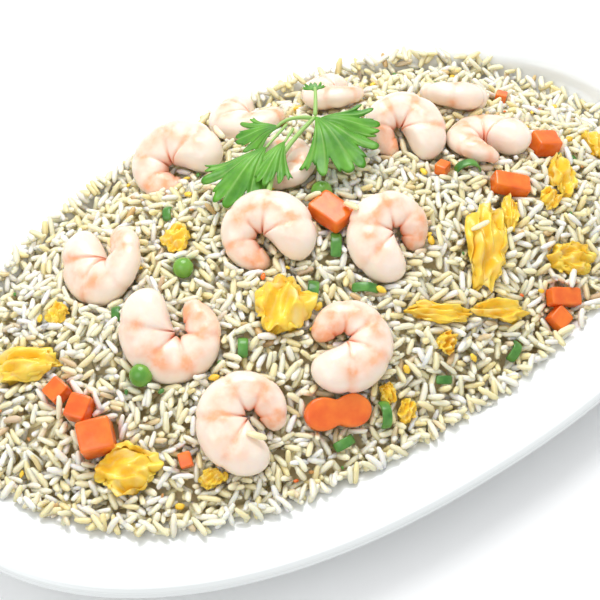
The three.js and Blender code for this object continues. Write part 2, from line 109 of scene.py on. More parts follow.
# x, y, across, turn of the head, lean along x and y, 1 or -1 for the way it curls
SHRIMPS = [
    (-28.4, 67.9, 49, -54, -0.25, -0.55, 1), (15.4, 73.2, 44, 60, 0.05, 0.0, 1),
    (3.0, 32.0, 36, 120, -0.1, -0.1, -1), (-77.9, 37.3, 49, 86, -0.55, 0.0, 1),
    (-25.0, 4.5, 47, -79, -0.25, -0.35, 1), (-75.1, -11.8, 51, 71, -0.25, -0.4, 1),
    (-71.1, -56.0, 49, -94, -0.05, 0.0, -1), (-22.8, -50.2, 47, 181, -0.1, -0.1, 1),
    (21.1, -22.1, 46, -104, -0.1, -0.25, -1), (55.8, 22.0, 43, -94, -0.2, -0.3, 1),
    (52.0, 61.4, 38, 40, 0.1, 0.1, 1), (91.4, 33.4, 36, 10, 0.45, 0.6, -1),
    (84.5, 0.0, 44, 300, 0.2, 0.3, 1),
]
SHRIMP_CURL = math.radians(332)
SHRIMP_LIFT = 4
SHRIMP_FLATTEN = 0.78
SHRIMP_SEGMENTS = 5.5
HEAD_CAP = 0.14
TAIL_CAP = 0.08
# Shares of the size across: half thickness and inner bend at both ends, the rise of the head,
# and how far the body and the tip of the tail hang down
HEAD_THICK, TAIL_THICK, TAPER = 0.235, 0.095, 1.1
HEAD_BEND, TAIL_BEND = 0.02, 0.08
HEAD_RISE, BODY_DROP, TIP_DROP = 0.03, 0.05, 0.07

# x, y, radius
PEAS = [(-56.8, 13.7, 4.2), (-95.8, -17.2, 4.6), (8.7, 11.4, 4.5)]
PEA_LIFT_SHARE = 0.4

# x, y, length, width, thickness, turn, lift
CARROTS = [
    (-122.5, -27.6, 13.5, 13, 12, -20, 4), (-124.4, -0.8, 8.5, 8, 7, 10, 2),
    (-121.5, -13.2, 10, 9, 8, 35, 2.5), (4.6, -1.1, 12, 16, 7, 15, 3),
    (71.3, -72.6, 14, 7.5, 6, -30, 1.5), (64.7, -78.3, 8, 8, 6, 20, 1),
    (109.7, -10.6, 11.5, 9.5, 8, -15, 2.5), (80.3, -23.4, 16, 8, 7, -34, 1.5),
    (59.7, -3.2, 5.5, 5, 5, 25, 1.5), (116.8, 27.7, 6, 5, 5, 40, 1.5),
    (-99.2, -54.4, 6, 5, 4.5, 70, 1.2),
]
# x, y, radius, thickness, turn, lift
CARROT_SLICE = (-40.1, -70.3, 9.2, 6, -25, 3.2)
SLICE_WAIST = 0.45

# x, y, length, width, thickness, turn, how far the middle arches up
EGGS = [
    (-36.1, -26.2, 23, 20, 9, 40, 2.5), (51.3, -44.2, 35, 16, 7, 56, 1.5),
    (70.5, -35.2, 16, 7, 5, 56, 0.5), (-128.1, 18.7, 29, 14, 7, -34, 1.5),
    (-119.0, -43.6, 24, 18, 7, -34, 1.5), (-50.9, 28.0, 12, 11, 6, 20, 1),
    (105.3, -27.5, 18, 12, 7, 56, 1), (92.6, -35.4, 10, 8, 5, 30, 0.5),
    (84.7, -60.8, 18, 13, 6, -34, 1), (18.0, -56.7, 25, 8, 5, -34, 0.5),
    (14.2, -68.2, 9, 8, 5, 15, 0.5), (-106.6, 31.0, 9, 8, 4.5, 0, 0.5),
    (-94.4, -65.0, 9, 7, 4.5, 10, 0.5), (-14.4, -81.1, 9, 7, 4.5, 50, 0.5),
    (-17.8, -73.0, 8, 6, 4, 80, 0.5), (42.0, -66.5, 20, 9, 5, -34, 0.5),
    (134.0, -18.0, 16, 10, 5, 70, 0.5),
]
EGG_LIFT_SHARE = 0.22
# How strongly the egg is misshapen, torn at its edge and folded
EGG_BROAD, EGG_JAG, EGG_FOLD = 0.34, 0.3, 0.75

# x, y, radius of its bow, how far round it goes, width, turn
SCALLIONS = [
    (68.2, -9.3, 6, 170, 4, -20), (-1.4, -13.2, 9, 80, 4.5, 56), (-2.4, -35.1, 7, 110, 4, -34),
    (-57.8, -31.4, 5, 130, 4, 56), (38.7, -80.8, 5, 150, 4, 40), (5.8, -78.3, 5, 100, 3.5, -34),
    (-23.9, -78.0, 5.5, 200, 4, 70), (-43.0, -79.1, 5, 150, 4, 0), (-88.9, 12.6, 5, 110, 3.5, 60),
    (-20.9, -25.5, 7, 100, 4.5, 50), (-46.3, 42.1, 4.5, 140, 3.5, 56),
]
SCALLION_WALL = 1.3
SCALLION_LIFT = 0.2

# Coriander: tube paths as points with a radius
STEMS = [
    (1.1, ((-17, 11, 62), (-6, 24, 66.5), (10, 33, 67), (25, 39, 66))),
    (0.8, ((23, 38.3, 66.2), (14, 42, 68), (7, 42, 67))),
    (0.8, ((24, 38.5, 66), (30, 47, 67.5), (33, 52, 66))),
]
# Leaflets: base, tip, width, and the share of the length that is only stalk
LEAFLETS = [
    ((10, 41, 67), (-8, 51, 62), 19, 0.05),
    ((12, 41, 67.5), (-33, 24, 66), 29, 0.3),
    ((13, 38, 67), (-15, 21, 69), 17, 0.25),
    ((24, 40, 66), (23, 6, 68), 36, 0.03),
    ((22, 38, 66.2), (44, 20, 66), 22, 0.05),
    ((31, 48, 67), (36, 58, 63), 8, 0.05),
]
LEAF_THICKNESS = 0.6
LEAF_WAVE = 0.07
LEAF_WAVES = 5
LEAF_FOLD = 0.22
LEAF_TEETH = 9
# Notches between lobes: place across the leaf, width and depth; then where the side veins run
LEAF_NOTCHES = ((0.36, 0.07, 1.0), (0.74, 0.06, 0.6))
LEAF_VEINS = (0.52, 0.86)

# How many small scraps lie among the grains, and their size range
EGG_CRUMBS = (46, 2.0, 4.6)
GREEN_CRUMBS = (26, 1.6, 3.4)
CARROT_CRUMBS = (12, 1.8, 3.6)
TOASTED_CRUMBS = (30, 1.2, 2.6)
CRUMB_REACH = 0.97

# Lights: name, azimuth, elevation, distance and size in metres, power
LIGHTS = (("key", 150, 58, 1.4, 1.0, 14), ("fill", -80, 50, 1.5, 1.2, 5))
SKY_STRENGTH = 0.74


# Heap surface, in millimetres

def swell(angle, middle, spread):
    """1 in the middle direction, falling to 0 away from it."""
    turn = angle - math.radians(middle)
    turn = np.arctan2(np.sin(turn), np.cos(turn))
    return np.exp(-((turn / math.radians(spread)) ** 2))


def heap_reach(angle):
    spill = SPILL_REACH * swell(angle, SPILL_TURN, SPILL_SPREAD)
    dent = DENT_REACH * swell(angle, DENT_TURN, DENT_SPREAD)
    return 1 + spill - dent


def heap_edge(angle):
    spill = SPILL_RISE * swell(angle, SPILL_TURN, SPILL_SPREAD)
    dent = DENT_FALL * swell(angle, DENT_TURN, DENT_SPREAD)
    return HEAP_EDGE + spill - dent


def lumps(x, y):
    broad = LUMPS_BROAD * np.sin(x / 17 + 1.3) * np.cos(y / 13 - 0.4)
    small = LUMPS_SMALL * np.sin((x + y) / 9 + 2.1) * np.cos((x - y) / 12)
    return broad + small


def heap_share(x, y):
    """How far out a point lies, 1 at the heap's edge, and its direction."""
    across = np.abs(x / HEAP_HALF_LENGTH)
    up = np.abs(y / HEAP_HALF_WIDTH)
    angle = np.arctan2(y / HEAP_HALF_WIDTH, x / HEAP_HALF_LENGTH)
    power = (across ** HEAP_POWER + up ** HEAP_POWER) ** (1 / HEAP_POWER)
    return power / heap_reach(angle), angle


def heap_height(x, y):
    share, angle = heap_share(x, y)
    share = np.minimum(share, 1)
    edge = heap_edge(angle)
    crown = (HEAP_TOP - edge) * (1 - share ** HEAP_SHOULDER)
    return edge + crown + lumps(x, y) * (1 - share ** 4)


def reach(angle, power):
    """Radius of a rounded oval of size 1."""
    total = np.abs(np.cos(angle)) ** power + np.abs(np.sin(angle)) ** power
    return total ** (-1 / power)


def seat(points, x, y, lift, turn, lean_x=0.0, lean_y=0.0):
    """Put points on the heap, with their own Z along the heap's surface normal."""
    step = 3.0
    slope_x = (heap_height(x + step, y) - heap_height(x - step, y)) / (2 * step)
    slope_y = (heap_height(x, y + step) - heap_height(x, y - step)) / (2 * step)
    up = Vector((-slope_x, -slope_y, 1)).normalized()
    up = (up + Vector((lean_x, lean_y, 0))).normalized()
    spin = math.radians(turn)
    ahead = Vector((math.cos(spin), math.sin(spin), 0))
    ahead = (ahead - up * ahead.dot(up)).normalized()
    side = up.cross(ahead)
    axes = np.array([ahead, side, up])
    return points @ axes + np.array([x, y, heap_height(x, y) + lift])


# Meshes

def fuzz(points, scale, seed):
    """Smooth noise from -1 to 1 at each point."""
    shift = Vector((17.3 * seed, -9.1 * seed, 4.7 * seed))
    return np.array([noise.noise(Vector(p) * scale + shift) for p in points.reshape(-1, 3)])


def wrapped_faces(rows, cols):
    """Quads of a grid that closes on itself along its columns."""
    faces = []
    for row in range(rows - 1):
        for col in range(cols):
            after = (col + 1) % cols
            faces.append((row * cols + col, row * cols + after,
                          (row + 1) * cols + after, (row + 1) * cols + col))
    return faces


def unit_sphere(rows, cols):
    tilt = np.linspace(-math.pi / 2, math.pi / 2, rows)[:, None]
    turn = np.linspace(0, 2 * math.pi, cols, endpoint=False)[None, :]
    x = np.cos(tilt) * np.cos(turn)
    y = np.cos(tilt) * np.sin(turn)
    z = np.sin(tilt) + 0 * turn
    return np.stack([x, y, z], -1).reshape(-1, 3), wrapped_faces(rows, cols)


def join_shapes(shapes):
    """One list of points, faces and looks from several."""
    points, faces, looks = [], [], []
    start = 0
    for shape_points, shape_faces, shape_look in shapes:
        points.append(shape_points)
        faces.extend(tuple(corner + start for corner in face) for face in shape_faces)
        looks.append(shape_look)
        start += len(shape_points)
    return np.concatenate(points), faces, np.concatenate(looks)


def add_piece(name, points, faces, look, material, slot, *nodes, weld=True):
    mesh = bpy.data.meshes.new(name)
    mesh.from_pydata((points * MM).tolist(), [], faces)
    layer = mesh.attributes.new("look", "FLOAT_COLOR", "POINT")
    colours = np.ones((len(points), 4))
    colours[:, :look.shape[1]] = look
    layer.data.foreach_set("color", colours.ravel())
    if weld:
        work = bmesh.new()
        work.from_mesh(mesh)
        bmesh.ops.remove_doubles(work, verts=work.verts, dist=1e-6)
        bmesh.ops.recalc_face_normals(work, faces=work.faces)
        work.to_mesh(mesh)
        work.free()
    mesh.shade_smooth()
    mesh.materials.append(material)
    piece = bpy.data.objects.new(name, mesh)
    bpy.context.scene.collection.objects.link(piece)
    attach(piece, BODY)
    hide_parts(*nodes)
    return piece


# Materials

def new_material(name):
    material = bpy.data.materials.new(name)
    material.use_nodes = True
    tree = material.node_tree
    shader = tree.nodes["Principled BSDF"]
    return material, tree, shader


def link(tree, source, target):
    tree.links.new(source, target)


def noise_node(tree, scale, detail=3.0):
    place = tree.nodes.new("ShaderNodeTexCoord")
    texture = tree.nodes.new("ShaderNodeTexNoise")
    texture.inputs["Scale"].default_value = scale
    texture.inputs["Detail"].default_value = detail
    link(tree, place.outputs["Object"], texture.inputs["Vector"])
    return texture.outputs["Fac"]


def ramp_node(tree, source, *stops):
    ramp = tree.nodes.new("ShaderNodeValToRGB")
    while len(ramp.color_ramp.elements) < len(stops):
        ramp.color_ramp.elements.new(0.5)
    for element, (place, colour) in zip(ramp.color_ramp.elements, stops):
        element.position = place
        element.color = (*colour, 1)
    link(tree, source, ramp.inputs["Fac"])
    return ramp.outputs["Color"]


def mix_node(tree, amount, first, second):
    mix = tree.nodes.new("ShaderNodeMix")
    mix.data_type = "RGBA"
    link(tree, amount, mix.inputs[0])
    for source, target in ((first, mix.inputs[6]), (second, mix.inputs[7])):
        if isinstance(source, tuple):
            target.default_value = (*source, 1)
        else:
            link(tree, source, target)
    return mix.outputs[2]


def look_channels(tree):
    look = tree.nodes.new("ShaderNodeAttribute")
    look.attribute_name = "look"
    split = tree.nodes.new("ShaderNodeSeparateColor")
    link(tree, look.outputs["Color"], split.inputs["Color"])
    return split.outputs


def bump_from(tree, shader, height, strength, distance):
    bump = tree.nodes.new("ShaderNodeBump")
    bump.inputs["Strength"].default_value = strength
    bump.inputs["Distance"].default_value = distance
    link(tree, height, bump.inputs["Height"])
    link(tree, bump.outputs["Normal"], shader.inputs["Normal"])


def soften(shader, weight, radius, scale):
    shader.inputs["Subsurface Weight"].default_value = weight
    shader.inputs["Subsurface Radius"].default_value = radius
    shader.inputs["Subsurface Scale"].default_value = scale


def glaze_material():
    material, tree, shader = new_material("white_glaze")
    cloud = noise_node(tree, 9.0, 2.0)
    colour = ramp_node(tree, cloud, (0.3, (0.76, 0.785, 0.78)), (0.7, (0.79, 0.81, 0.805)))
    link(tree, colour, shader.inputs["Base Color"])
    shader.inputs["Roughness"].default_value = 0.16
    shader.inputs["Coat Weight"].default_value = 0.5
    shader.inputs["Coat Roughness"].default_value = 0.05
    bump_from(tree, shader, noise_node(tree, 45.0, 1.0), 0.05, 0.0005)
    return material


def rice_material(name, pale, deep, toast):
    material, tree, shader = new_material(name)
    look = look_channels(tree)
    body = mix_node(tree, look["Red"], pale, deep)
    streak = ramp_node(tree, noise_node(tree, 260.0), (0.35, (0.86, 0.86, 0.86)), (0.75, (1, 1, 1)))
    shade = tree.nodes.new("ShaderNodeMix")
    shade.data_type = "RGBA"
    shade.blend_type = "MULTIPLY"
    shade.inputs[0].default_value = 0.5
    link(tree, mix_node(tree, look["Green"], body, toast), shade.inputs[6])
    link(tree, streak, shade.inputs[7])
    link(tree, shade.outputs[2], shader.inputs["Base Color"])
    shader.inputs["Roughness"].default_value = 0.34
    soften(shader, 0.6, (1.0, 0.78, 0.45), 0.0036)
    bump_from(tree, shader, noise_node(tree, 700.0), 0.12, 0.0003)
    return material


def core_colour_and_shade_material():
    material, tree, shader = new_material("rice_core")
    # Darker, deeper gold than the grains: partly the oily rice's own colour, partly painted shade for the
    # gaps between grains
    colour = ramp_node(tree, noise_node(tree, 160.0), (0.3, (0.90, 0.74, 0.40)), (0.7, (0.98, 0.87, 0.58)))
    link(tree, colour, shader.inputs["Base Color"])
    shader.inputs["Roughness"].default_value = 0.6
    bump_from(tree, shader, noise_node(tree, 220.0), 0.6, 0.001)
    return material


def shrimp_material():
    material, tree, shader = new_material("shrimp_flesh")
    look = look_channels(tree)
    blotch = ramp_node(tree, noise_node(tree, 190.0), (0.3, (0.35, 0.35, 0.35)), (0.62, (1, 1, 1)))
    patchy = tree.nodes.new("ShaderNodeMath")
    patchy.operation = "MULTIPLY"
    link(tree, look["Red"], patchy.inputs[0])
    link(tree, blotch, patchy.inputs[1])
    flesh = mix_node(tree, patchy.outputs[0], (0.95, 0.83, 0.72), (0.93, 0.43, 0.23))
    colour = mix_node(tree, look["Green"], flesh, (0.86, 0.22, 0.07))
    link(tree, colour, shader.inputs["Base Color"])
    shader.inputs["Roughness"].default_value = 0.27
    shader.inputs["Coat Weight"].default_value = 0.25
    shader.inputs["Coat Roughness"].default_value = 0.12
    soften(shader, 0.3, (1.0, 0.55, 0.3), 0.0025)
    bump_from(tree, shader, noise_node(tree, 420.0), 0.18, 0.0005)
    return material


def moist_material(name, scale, dark, light, roughness, softness):
    material, tree, shader = new_material(name)
    look = look_channels(tree)
    body = ramp_node(tree, noise_node(tree, scale), (0.32, dark), (0.68, light))
    pale = tuple(min(1.0, 0.45 + 0.6 * part) for part in light)
    colour = mix_node(tree, look["Red"], body, pale)
    link(tree, colour, shader.inputs["Base Color"])
    shader.inputs["Roughness"].default_value = roughness
    shader.inputs["Coat Weight"].default_value = 0.2
    soften(shader, softness, (1.0, 0.6, 0.3), 0.002)
    bump_from(tree, shader, noise_node(tree, 3 * scale), 0.25, 0.0005)
    return material


def leaf_material():
    material, tree, shader = new_material("coriander_green")
    look = look_channels(tree)
    blade = ramp_node(tree, noise_node(tree, 120.0), (0.3, (0.05, 0.22, 0.012)), (0.7, (0.14, 0.40, 0.03)))
    colour = mix_node(tree, look["Red"], blade, (0.36, 0.55, 0.16))
    link(tree, colour, shader.inputs["Base Color"])
    shader.inputs["Roughness"].default_value = 0.42
    soften(shader, 0.25, (0.4, 1.0, 0.2), 0.001)
    bump_from(tree, shader, noise_node(tree, 500.0), 0.25, 0.0004)
    return material


# The platter

def ring_curve(rings):
    """The rings with smooth steps between them."""
    table = np.array(rings, float)
    padded = np.concatenate([table[:1], table, table[-1:]])
    smooth = []
    for i in range(len(rings) - 1):
        before, first, second, after = padded[i:i + 4]
        for k in range(RING_STEPS):
            t = k / RING_STEPS
            bend = (2 * before - 5 * first + 4 * second - after) * t * t
            twist = (3 * first - before - 3 * second + after) * t ** 3
            smooth.append(0.5 * (2 * first + (second - before) * t + bend + twist))
    smooth.append(table[-1])
    curve = np.array(smooth)
    curve[:, 2] = np.maximum(curve[:, 2], 0)
    curve[:, :2] = np.maximum(curve[:, :2], 0)
    return curve


def add_platter():
    curve = ring_curve(PLATTER_RINGS)
    angle = np.linspace(0, 2 * math.pi, PLATTER_SIDES, endpoint=False)[None, :]
    out = reach(angle, curve[:, 3:4])
    x = curve[:, 0:1] * out * np.cos(angle)
    y = curve[:, 1:2] * out * np.sin(angle)
    z = curve[:, 2:3] + 0 * angle
    points = np.stack([x, y, z], -1).reshape(-1, 3)
    faces = wrapped_faces(len(curve), PLATTER_SIDES)
    look = np.zeros((len(points), 1))
    add_piece("platter_glazed", points, faces, look, glaze_material(), "white_glaze", "platter")


def platter_top(x, y):
    """Height of the glaze under a point."""
    inside = ring_curve(PLATTER_RINGS[:RINGS_INSIDE])
    length = np.maximum(inside[:, 0], 1e-3)
    width = np.maximum(inside[:, 1], 1e-3)
    mean = np.hypot(np.asarray(x) / WELL[0], np.asarray(y) / WELL[1])
    share = 0.5 * (length / WELL[0] + width / WELL[1])
    return np.interp(mean, share, inside[:, 2])



# Toppings: each returns its points, faces and look

def shrimp_shape(across, hand, seed):
    rows, cols = 108, 36
    row = np.linspace(0, 1, rows)[:, None]
    around = np.linspace(0, 2 * math.pi, cols, endpoint=False)[None, :]
    eased = 0.5 - 0.5 * np.cos(math.pi * row)
    along = row + (eased - row) * 0.5
    from_head = np.maximum(0, 1 - along / HEAD_CAP)
    from_tail = np.maximum(0, (along - 1 + TAIL_CAP) / TAIL_CAP)
    cap = np.sqrt(np.maximum(0, 1 - np.maximum(from_head, from_tail) ** 2))
    outer = np.cos(around)
    inner = np.clip(-outer, 0, 1)
    # The flank is cut into segments, with a plate that overlaps the next along the back
    phase = along * SHRIMP_SEGMENTS
    step = phase - np.floor(phase)
    near = np.minimum(step, 1 - step)
    body = np.clip((along - 0.12) / 0.06, 0, 1) * np.clip((0.97 - along) / 0.05, 0, 1)
    crease = np.exp(-((near / 0.12) ** 2)) * body
    plate = (0.5 - step) * body
    thick = across * (HEAD_THICK + (TAIL_THICK - HEAD_THICK) * along ** TAPER)
    girth = thick * cap
    swollen = 1 + 0.07 * np.sin(math.pi * step) * body * (0.3 + inner)
    girth = girth * (swollen - crease * (0.035 + 0.05 * inner) + 0.05 * plate * np.clip(outer, 0, 1))
    radius = thick + across * (HEAD_BEND + (TAIL_BEND - HEAD_BEND) * along)
    turn = SHRIMP_CURL * along
    out = radius + girth * np.cos(around)
    drop = across * (HEAD_RISE - BODY_DROP * along ** 2 - TIP_DROP * along ** 8)
    rise = SHRIMP_FLATTEN * girth * np.sin(around) + drop
    points = np.stack([out * np.cos(turn), hand * out * np.sin(turn), rise], -1).reshape(-1, 3)
    wobble = fuzz(points, 0.16, seed)
    small = fuzz(points, 0.5, seed + 3)
    points[:, 2] += 0.7 * wobble + 0.2 * small
    # Pink lies along the flank inside the pale back, deeper at the creases, tail and middle
    band = np.exp(-(((outer - 0.1) / 0.5) ** 2))
    tail = np.clip((along - 0.62) / 0.3, 0, 1)
    head = np.clip((0.2 - along) / 0.14, 0, 1)
    pink = (0.75 * band + 0.8 * crease * (0.4 + band) + 0.6 * tail) * (1 - 0.85 * head)
    pink = pink.reshape(-1) * (0.8 + 0.9 * wobble) + 0.08
    red = (0.6 * inner ** 6 * (1 - head) + 0.25 * crease * inner + 0.3 * tail * inner).reshape(-1)
    look = np.stack([np.clip(pink, 0, 1), np.clip(red, 0, 1)], -1)
    return points, wrapped_faces(rows, cols), look


def pea_shape(radius, seed):
    points, faces = unit_sphere(26, 36)
    dent = np.exp(-(((points[:, 0] - 1) ** 2 + points[:, 1] ** 2 + points[:, 2] ** 2) / 0.06))
    wrinkle = fuzz(points, 1.6, seed)
    points = points * (radius * (1 + 0.03 * wrinkle - 0.05 * dent))[:, None]
    return points, faces, (0.25 * dent)[:, None]


def signed_power(value, power):
    return np.sign(value) * np.abs(value) ** power


def block_shape(length, width, thickness, seed, edge=0.2, waist=0.0):
    """A rounded block, or with a waist a rounded slice."""
    rows, cols = 24, 48
    tilt = np.linspace(-math.pi / 2, math.pi / 2, rows)[:, None]
    turn = np.linspace(0, 2 * math.pi, cols, endpoint=False)[None, :]
    flat = 1.0 if waist else edge
    pinch = 1 + waist * np.cos(2 * turn)
    ring = signed_power(np.cos(tilt), edge)
    x = ring * signed_power(np.cos(turn), flat) * pinch * length / 2
    y = ring * signed_power(np.sin(turn), flat) * pinch * width / 2
    z = signed_power(np.sin(tilt), edge) * thickness / 2 + 0 * turn
    points = np.stack([x, y, z], -1).reshape(-1, 3)
    uneven = fuzz(points, 0.22, seed)
    points *= (1 + 0.035 * uneven)[:, None]
    return points, wrapped_faces(rows, cols), np.zeros((len(points), 1))


def egg_shape(length, width, thickness, arch, seed):
    """A torn, folded piece of egg with ruffled edges."""
    points, faces = unit_sphere(42, 68)
    broad = fuzz(points, 1.5, seed)
    jag = fuzz(points, 3.4, seed + 4)
    folds = fuzz(points * np.array([1.0, 1.7, 1.0]), 1.5, seed + 5)
    fine = fuzz(points, 6.5, seed + 9)
    edge = np.hypot(points[:, 0], points[:, 1])
    out = 1 + EGG_BROAD * broad + EGG_JAG * jag * edge ** 4 + 0.05 * fine
    x = points[:, 0] * out * length / 2
    y = points[:, 1] * out * width / 2
    z = signed_power(points[:, 2], 0.7) * thickness / 2 * 0.62
    z = z + arch * (0.6 - points[:, 0] ** 2) + folds * EGG_FOLD * thickness + 0.3 * fine
    pale = np.clip(0.9 * fuzz(points, 2.4, seed + 2) - 0.15, 0, 0.45)
    return np.stack([x, y, z], -1), faces, pale[:, None]


def scallion_shape(radius, sweep, width):
    rows, cols = 30, 20
    half = math.radians(sweep) / 2
    angle = np.linspace(-half, half, rows)[:, None]
    around = np.linspace(0, 2 * math.pi, cols, endpoint=False)[None, :]
    end = np.sqrt(np.clip(1 - np.abs(angle / half) ** 14, 0, 1))
    wall = SCALLION_WALL / 2 * signed_power(np.cos(around), 0.7) * end
    out = radius - SCALLION_WALL / 2 + wall * (1 + 0.2 * np.sin(5 * angle))
    across = width / 2 * signed_power(np.sin(around), 0.6) * end
    height = out * np.cos(angle) - radius * math.cos(half)
    points = np.stack([out * np.sin(angle), -across, height], -1).reshape(-1, 3)
    pale = np.clip(-np.cos(around), 0, 1) * 0.55 + 0 * angle
    return points, wrapped_faces(rows, cols), pale.reshape(-1, 1)


def tube_shape(radius, path):
    """A round stem along a smooth curve through the points."""
    rows, cols = 26, 12
    knots = np.linspace(0, 1, len(path))
    table = np.array(path, float)
    places = np.linspace(0, 1, rows)
    weights = np.polyfit(knots, table, len(path) - 1)
    line = np.stack([np.polyval(weights[:, axis], places) for axis in range(3)], -1)
    ahead = np.gradient(line, axis=0)
    ahead /= np.linalg.norm(ahead, axis=1)[:, None]
    side = np.cross(ahead, (0, 0, 1))
    side /= np.linalg.norm(side, axis=1)[:, None]
    up = np.cross(side, ahead)
    size = radius * np.sqrt(np.clip(1 - np.abs(2 * places - 1) ** 20, 0, 1)) * (1.15 - 0.4 * places)
    turn = np.linspace(0, 2 * math.pi, cols, endpoint=False)
    ring = np.cos(turn)[None, :, None] * side[:, None] + np.sin(turn)[None, :, None] * up[:, None]
    points = line[:, None] + ring * size[:, None, None]
    return points.reshape(-1, 3), wrapped_faces(rows, cols), np.full((rows * cols, 1), 0.9)


def leaf_shape(base, tip, width, stalk, seed):
    """A wedge that opens into toothed lobes, gently waved, with veins pressed into its top."""
    rows, cols = 16, 97
    start = Vector(base)
    ahead = Vector(tip) - start
    length = ahead.length * (1 - stalk)
    spread = math.atan2(0.5 * width, 0.5 * length)
    turn = np.linspace(-1, 1, cols)[None, :]
    share = np.linspace(0, 1, rows)[:, None]
    aside = np.abs(turn)
    lobes = sum(deep * np.exp(-(((aside - place) / wide) ** 2)) for place, wide, deep in LEAF_NOTCHES)
    teeth = np.abs(np.sin(turn * LEAF_TEETH * math.pi / 2))
    outline = (1 - 0.22 * turn ** 2 - 0.28 * lobes) * (0.86 + 0.14 * np.sqrt(teeth))
    distance = length * share * outline
    open_out = spread * turn * (0.55 + 0.45 * share)
    x = distance * np.cos(open_out)
    y = distance * np.sin(open_out)
    wave = LEAF_WAVE * length * np.sin(LEAF_WAVES * x / length) * np.cos(LEAF_WAVES * y / width)
    ruffle = 0.02 * length * share ** 2 * np.sin(turn * 19 + seed)
    lift = wave + ruffle - LEAF_FOLD * np.abs(y)
    vein = np.exp(-((turn / 0.035) ** 2))
    for lobe in LEAF_VEINS:
        vein = vein + np.exp(-(((aside - lobe) / 0.03) ** 2))
    vein = vein * (1 - 0.75 * share)
    inside = np.minimum(1, 6 * (1 - share)) * np.minimum(1, 12 * (1 - np.abs(turn)))
    half = 0.5 * LEAF_THICKNESS * (0.15 + 0.85 * inside) * (share > 0) * (share < 1) * (np.abs(turn) < 1)
    top = np.stack([x, y, lift + half - 0.25 * vein * inside], -1).reshape(-1, 3)
    bottom = np.stack([x, y, lift - half], -1).reshape(-1, 3)
    faces = []
    for row in range(rows - 1):
        for col in range(cols - 1):
            corner = row * cols + col
            quad = (corner, corner + 1, corner + cols + 1, corner + cols)
            faces.append(quad)
            faces.append(tuple(place + rows * cols for place in reversed(quad)))
    ahead.normalize()
    side = Vector((0, 0, 1)).cross(ahead).normalized()
    axes = np.array([ahead, side, ahead.cross(side)])
    origin = start + (Vector(tip) - start) * stalk
    points = np.concatenate([top, bottom]) @ axes + np.array(origin)
    look = np.concatenate([vein.reshape(-1), 0.5 * vein.reshape(-1)])
    return points, faces, np.clip(0.8 * look, 0, 1)[:, None]


def coriander_shape():
    shapes = [tube_shape(radius, path) for radius, path in STEMS]
    for seed, (base, tip, width, stalk) in enumerate(LEAFLETS):
        shapes.append(leaf_shape(base, tip, width, stalk, seed))
        if stalk > 0.1:
            reach_in = Vector(base).lerp(Vector(tip), stalk + 0.15)
            middle = Vector(base).lerp(reach_in, 0.5)
            shapes.append(tube_shape(0.6, (tuple(base), tuple(middle), tuple(reach_in))))
    return join_shapes(shapes)


